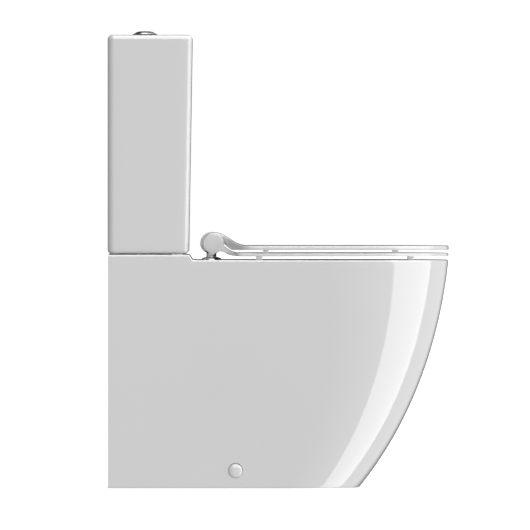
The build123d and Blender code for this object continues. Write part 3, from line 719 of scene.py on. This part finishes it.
def seat_outline():
    """Closed plan outline: straight back, quarter round rear corners, tapering sides, superellipse front."""
    corner = SEAT_CORNER
    t = np.linspace(0, math.pi / 2, 81)
    fx = HALF_TOP * np.abs(np.cos(t)) ** (2 / FRONT_POWER)
    fs = SIDE_S + (TIP_S - SIDE_S) * np.sin(t) ** (2 / FRONT_POWER)
    fx[-1] = 0
    back = np.stack([np.linspace(0, SEAT_BACK_HALF - corner, 25), np.full(25, SEAT_BACK)], -1)
    a = np.linspace(-math.pi / 2, 0.06, 10)[1:]
    bend = np.stack([SEAT_BACK_HALF - corner + corner * np.cos(a), SEAT_BACK + corner + corner * np.sin(a)], -1)
    w = np.linspace(0, 1, 33)[1:-1, None]
    side = bend[-1] * (1 - w) + np.array([HALF_TOP, float(SIDE_S)]) * w
    right = np.concatenate([back, bend, side, np.stack([fx, fs], -1)])
    return np.concatenate([right, right[1:-1][::-1] * (-1, 1)])


def loop_normal(loop):
    """Outward normal of a closed counter clockwise loop."""
    d = np.roll(loop, -1, 0) - np.roll(loop, 1, 0)
    n = np.stack([d[:, 1], -d[:, 0]], -1)
    return n / np.linalg.norm(n, axis=1)[:, None]


def seat_plate():
    """Ring body: round outer edge, top dished slightly to a rounder inner edge, flat underside."""
    outer = seat_outline()
    out_n = loop_normal(outer)
    turn = np.arctan2((outer[:, 1] - HOLE_S) / HOLE_A, outer[:, 0] / HOLE_B)
    inner = np.stack([HOLE_B * np.cos(turn), HOLE_S + HOLE_A * np.sin(turn)], -1)
    in_n = np.stack([np.cos(turn) / HOLE_B, np.sin(turn) / HOLE_A], -1)
    in_n /= np.linalg.norm(in_n, axis=1)[:, None]
    big, big_up = arc_steps(SEAT_EDGE_TOP, 8)
    small, small_up = arc_steps(SEAT_EDGE_LOW, 5)
    rows = [(outer - out_n * i, SEAT_LOW + SEAT_EDGE_LOW - u) for i, u in zip(small[::-1], small_up[::-1])]
    rows += [(outer - out_n * i, SEAT_TOP - SEAT_EDGE_TOP + u) for i, u in zip(big, big_up)]
    a_line, b_line = outer - out_n * SEAT_EDGE_TOP, inner + in_n * HOLE_EDGE
    rows += [(a_line * (1 - w) + b_line * w, SEAT_TOP - SEAT_DISH * w ** 2.2)
             for w in np.linspace(0, 1, 10)[1:-1]]
    wide, wide_up = arc_steps(HOLE_EDGE, 8)
    rows += [(inner + in_n * i, SEAT_TOP - SEAT_DISH - HOLE_EDGE + u)
             for i, u in zip(wide[::-1], wide_up[::-1])]
    rows += [(inner + in_n * i, SEAT_LOW + SEAT_EDGE_LOW - u) for i, u in zip(small, small_up)]
    rows = np.array([place(loop[:, 0], loop[:, 1], z) for loop, z in rows])
    return solid("seat_ring_white", rows, quads(*rows.shape[:2], wrap_rows=True))


def side_plate(name, profile, x0, x1, edge=0.8):
    """Body with one side profile of wall distance and height pairs, carried across, its edges bevelled."""
    xs = np.array(profile, float)
    rings = np.stack([place(x, xs[:, 0], xs[:, 1]) for x in np.linspace(x0, x1, 2)])
    return spread(stack(name, rings), edge, 3, 50)


KNUCKLE_IN, KNUCKLE_OUT, KNUCKLE_R = 100.0, 122.0, 18.7
PIN_BORE_R, PIN_BORE_IN, PIN_BORE_OUT = 5.06, 90, 118.6
WEB_LOW = np.array([(196, 441), (207, 437.6), (214, 435.9), (219, 433.2), (224, 430.9), (231, 429.4),
                    (240, 428.8), (252, 428.7)])
WEB_TOP = np.array([(252, 434.5), (240, 434.7), (233, 435.6), (226, 438.2), (219, 442.9), (212, 449.0),
                    (200, 452.0)])


def fine_line(points, count):
    """Smooth line through a list of points: read evenly along its length, then averaged over its neighbours."""
    length = np.concatenate([[0], np.cumsum(np.linalg.norm(np.diff(points, axis=0), axis=1))])
    at = np.linspace(0, length[-1], count)
    raw = np.stack([np.interp(at, length, c) for c in points.T], -1)
    pad = np.concatenate([[2 * raw[0] - raw[k] for k in (2, 1)], raw, [2 * raw[-1] - raw[-k] for k in (2, 3)]])
    return sum(pad[k:k + count] for k in range(5)) / 5


seat = seat_plate()
web_profile = np.concatenate([fine_line(WEB_LOW, 26), fine_line(WEB_TOP, 22)])
KNUCKLE = [(0.01, KNUCKLE_IN), (17.9, KNUCKLE_IN), (18.5, KNUCKLE_IN + 0.3), (KNUCKLE_R, KNUCKLE_IN + 1.0),
           (KNUCKLE_R, KNUCKLE_OUT - 1.4), (18.45, KNUCKLE_OUT - 0.7), (17.8, KNUCKLE_OUT - 0.15),
           (17.0, KNUCKLE_OUT), (0.01, KNUCKLE_OUT)]
for sign in (-1, 1):
    inner_x, outer_x = sorted((sign * KNUCKLE_IN, sign * KNUCKLE_OUT))
    carve(seat, side_plate("web", web_profile, inner_x, outer_x), "UNION")
    carve(seat, spun_across("knuckle", KNUCKLE, sign), "UNION")
    carve(seat, cross_bar("pin_bore", PIN_BORE_R, sign * PIN_BORE_IN, sign * PIN_BORE_OUT, AXIS_S, AXIS_Z))
finish_mesh(seat, 32)
wear(seat, seat_white, "seat", "seat_ring")
# The buffers carry the pale rubber's painted glow, an emission that lifts them out of the shade between seat,
# lid and rim.
dress(white_rubber_painted_glow, "seat_buffers", "lid_buffers")

# ---------------------------------------------------------------- lid
# The lid is a flat plate of the same thermoset that narrows behind to a swan neck, runs over the hinge heads
# and ends in a barrel between the posts, which holds the two soft closing dampers.
LID_UNDER, LID_FACE = 440.7, 448.1
LID_EDGE_LOW, LID_EDGE_TOP = 1.6, 3.2
ARCH_R, ARCH_Z, ARCH_END = 15.5, 457.5, 210
DAMPER_BORE_R, DAMPER_IN, DAMPER_OUT = 9.1, 11, 70
FLARE = np.array([(190.2, 97), (212, 97), (216, 98.5), (221, 104), (227, 114), (234, 128), (241, 146),
                  (247, 160), (254, 169), (262, 173.5), (275, 175.5), (391, 180)], float)
NECK_TOP = np.array([(190.2, 472.6), (198, 472.5), (205.5, 471.4), (212.9, 468.2), (219.4, 464.5), (225, 460.9),
                     (230.5, 457.2), (237, 453.1), (244, 450.0), (254, LID_FACE), (300, LID_FACE)], float)
NECK_LOW = np.array([(ARCH_END, ARCH_Z), (214, 452.3), (221.5, 445.5), (229, LID_UNDER),
                     (300, LID_UNDER)], float)
BARREL_R, BARREL_S, BARREL_Z, BARREL_HALF = 19.7, 190.2, 452.9, 58.4


def upper_at(s):
    """Height of the lid's upper face: swan neck, then flat."""
    return smooth_rows(NECK_TOP, s, 7.0)[0]


def lower_at(s):
    """Height of the lid's lower face: an arc clear of the hinge heads, a short fall, then flat."""
    fall = smooth_rows(NECK_LOW, s, 4.0)[0]
    arc = AXIS_Z + np.sqrt(np.clip(ARCH_R ** 2 - (s - AXIS_S) ** 2, 0, None))
    return np.where(s < ARCH_END, np.maximum(arc, ARCH_Z), np.minimum(fall, ARCH_Z + 0.5))


def lid_body():
    """Slab whose plan is the flared neck and the D front, its round edges inset along the plan normal."""
    back = np.concatenate([np.linspace(190.2, 210, 12), np.linspace(211, 262, 42), np.linspace(268, 380, 12)])
    t = np.linspace(0, math.pi / 2, 81)
    x = np.concatenate([smooth_rows(FLARE, back, 9.0)[0], HALF_TOP * np.abs(np.cos(t)) ** (2 / FRONT_POWER)])
    s = np.concatenate([back, SIDE_S + (TIP_S - SIDE_S) * np.sin(t) ** (2 / FRONT_POWER)])
    x[-1] = 0
    nx, ns = plan_normal(x, s)
    ns[0] = 0
    low_in, low_up = arc_steps(LID_EDGE_LOW, 6)
    top_in, top_up = arc_steps(LID_EDGE_TOP, 9)
    rows = []
    for inset, rise in [(i, LID_EDGE_LOW - u) for i, u in zip(low_in[::-1], low_up[::-1])]:
        rx, rs = x - nx * inset, s - ns * inset
        rows.append(place(rx, rs, lower_at(rs) + rise))
    for inset, rise in [(i, u - LID_EDGE_TOP) for i, u in zip(top_in, top_up)]:
        rx, rs = x - nx * inset, s - ns * inset
        rows.append(place(rx, rs, upper_at(rs) + rise))
    return mirrored("lid_white", np.stack(rows), 40)


lid = lid_body()
BARREL = [(0.01, -BARREL_HALF), (BARREL_R - 0.8, -BARREL_HALF), (BARREL_R, -BARREL_HALF + 0.8),
          (BARREL_R, BARREL_HALF - 0.8), (BARREL_R - 0.8, BARREL_HALF), (0.01, BARREL_HALF)]
carve(lid, spun_across("barrel", BARREL, 1, BARREL_S, BARREL_Z), "UNION")
for sign in (-1, 1):
    carve(lid, cross_bar("damper_bore", DAMPER_BORE_R, sign * DAMPER_IN, sign * DAMPER_OUT, AXIS_S, AXIS_Z))
finish_mesh(lid, 32)
wear(lid, seat_white, "lid", "seat_lid")

# ---------------------------------------------------------------- floor fixings
# A plastic angle bracket inside each side of the skirt is screwed down to the floor; a long screw through the
# skirt's side draws the pan on to it, under a small domed white cover.
COVER = [(0.01, 5.6), (3.5, 5.5), (7.0, 5.1), (9.8, 4.35), (11.7, 3.3), (12.9, 2.1), (13.4, 0.9), (13.4, 0.05),
         (7.4, 0.05), (7.4, 3.0), (0.01, 3.0)]
COVER_X = 151.1
for sign, hand in ((-1, "left"), (1, "right")):
    dome = spun_across("cover_" + hand, [(r, h + COVER_X) for r, h in COVER], sign, SCREW_S, SCREW_Z)
    wear(dome, seat_white, "fixed", "fixing_caps")
dress(grey_plastic, "floor_brackets")
dress(steel, "side_screws")

# ---------------------------------------------------------------- floor, light and camera
# Plain pale floor, one tall soft light to the front left of the object that only shows in the gloss, and a
# soft sky that is dimmer behind the object and mirrors dark on its far side. A long lens looks square at the
# object's left side from just above the seat's lid.
FLOOR_R, FLOOR_DROP = 90000.0, 0.3
SIDE_GLOW, FRONT_GAIN, REAR_LOSS, TOP_GAIN, BOUNCE_LOSS = 0.82, 0.08, 0.6, 0.33, 0.85
PANEL_GAIN, FAR_LOSS, BEHIND_LOSS, SEEN_SKY = 4.0, 0.94, 0.8, 1.02
LIGHT_AT, LIGHT_TO, LIGHT_SIZE = (-0.95, -3.2, -1.0), (-0.95, 0.0, -1.0), (3.5, 13.0)
LIGHT_POWER, LIGHT_ROLL = 375.0, math.radians(-13)
DISTANCE, VIEW_WIDTH, EYE_HEIGHT, AIM_HEIGHT, EYE_SIDE = 44.0, 0.9825, 0.65, 0.4119, 0.0249


def disc_floor(radius):
    """Flat round floor as a fan of one ring."""
    a = np.linspace(0, 2 * math.pi, 96, endpoint=False)
    ring = place(radius * np.cos(a), WALL + radius * np.sin(a), 0 * a - FLOOR_DROP)
    return solid("floor", ring, [list(range(96))])


floor = disc_floor(FLOOR_R)
stone, stone_shader, stone_at = finish_of("pale_floor", Emission_Strength=0.75, Roughness=0.9)
feed(stone_shader, Base_Color=stone_at.noise(1.5).blend((0.60, 0.60, 0.60, 1), (0.63, 0.63, 0.63, 1)),
     Emission_Color=stone_at.noise(1.2).blend((1, 1, 1, 1), (0.99, 0.99, 0.99, 1)))
floor.data.materials.append(stone)
floor.visible_glossy = False
floor.visible_shadow = False
floor.visible_diffuse = False

world = bpy.data.worlds.new("studio")
bpy.context.scene.world = world
world.use_nodes = True
tree = world.node_tree
tree.nodes.clear()
sky = Wire(tree, tree.nodes.new("ShaderNodeTexCoord").outputs["Generated"])
across, along, upward = (sky.node("ShaderNodeSeparateXYZ", {0: sky}, out=k) for k in range(3))
glow = SIDE_GLOW - along * FRONT_GAIN - along.step(0.15, 0.8) * REAR_LOSS + upward.step(0.1, 0.9) * TOP_GAIN
panel = upward.step(0.26, 0.32) * (1.0 - across.step(0.3, 0.5)) * PANEL_GAIN
beyond = across.step(0.1, 0.45) * (1.0 - (0.0 - along).step(0.2, 0.5))
behind = along.step(0.2, 0.5)
mirrored_glow = (glow + panel) * (1.0 - beyond * FAR_LOSS) * (1.0 - behind * BEHIND_LOSS)
depth = sky.node("ShaderNodeLightPath", {}, out="Ray Depth")
even_glow = glow * (1.0 - depth.step(2.4, 2.6) * BOUNCE_LOSS)
even = sky.node("ShaderNodeBackground", {"Color": (1, 1, 1, 1), "Strength": even_glow})
sharp = sky.node("ShaderNodeBackground", {"Color": (1, 1, 1, 1), "Strength": mirrored_glow})
plain = sky.node("ShaderNodeBackground", {"Color": (1, 1, 1, 1), "Strength": SEEN_SKY})
seen, glossy = (sky.node("ShaderNodeLightPath", {}, out=k) for k in ("Is Camera Ray", "Is Glossy Ray"))
lit = sky.node("ShaderNodeMixShader", {0: glossy, 1: even, 2: sharp})
both = sky.node("ShaderNodeMixShader", {0: seen, 1: lit, 2: plain})
out = tree.nodes.new("ShaderNodeOutputWorld")
tree.links.new(both.socket, out.inputs["Surface"])


def soft_light(name, at, toward, size, power, roll):
    """Rectangular soft light facing a point at its own height, turned by a roll in its own plane."""
    lamp = bpy.data.lights.new(name, "AREA")
    lamp.shape, lamp.size, lamp.size_y, lamp.energy = "RECTANGLE", *size, power
    holder = bpy.data.objects.new(name, lamp)
    holder.location = at
    direction = np.array(toward) - np.array(at)
    holder.rotation_euler = (math.pi / 2, roll, math.atan2(direction[1], direction[0]) - math.pi / 2)
    bpy.context.scene.collection.objects.link(holder)
    return holder


softbox = soft_light("side_softbox", LIGHT_AT, LIGHT_TO, LIGHT_SIZE, LIGHT_POWER, LIGHT_ROLL)
softbox.visible_diffuse = False

eye = bpy.data.cameras.new("camera")
eye.sensor_width = 36.0
eye.lens = 36.0 * DISTANCE / VIEW_WIDTH
eye.clip_start, eye.clip_end = 1.0, 200.0
camera = bpy.data.objects.new("camera", eye)
camera.location = (-DISTANCE, EYE_SIDE, EYE_HEIGHT)
tilt = math.atan2(EYE_HEIGHT - AIM_HEIGHT, DISTANCE)
camera.rotation_euler = (math.pi / 2 - tilt, 0, -math.pi / 2)
bpy.context.scene.collection.objects.link(camera)
bpy.context.scene.camera = camera
bpy.context.scene.view_settings.view_transform = "Standard"
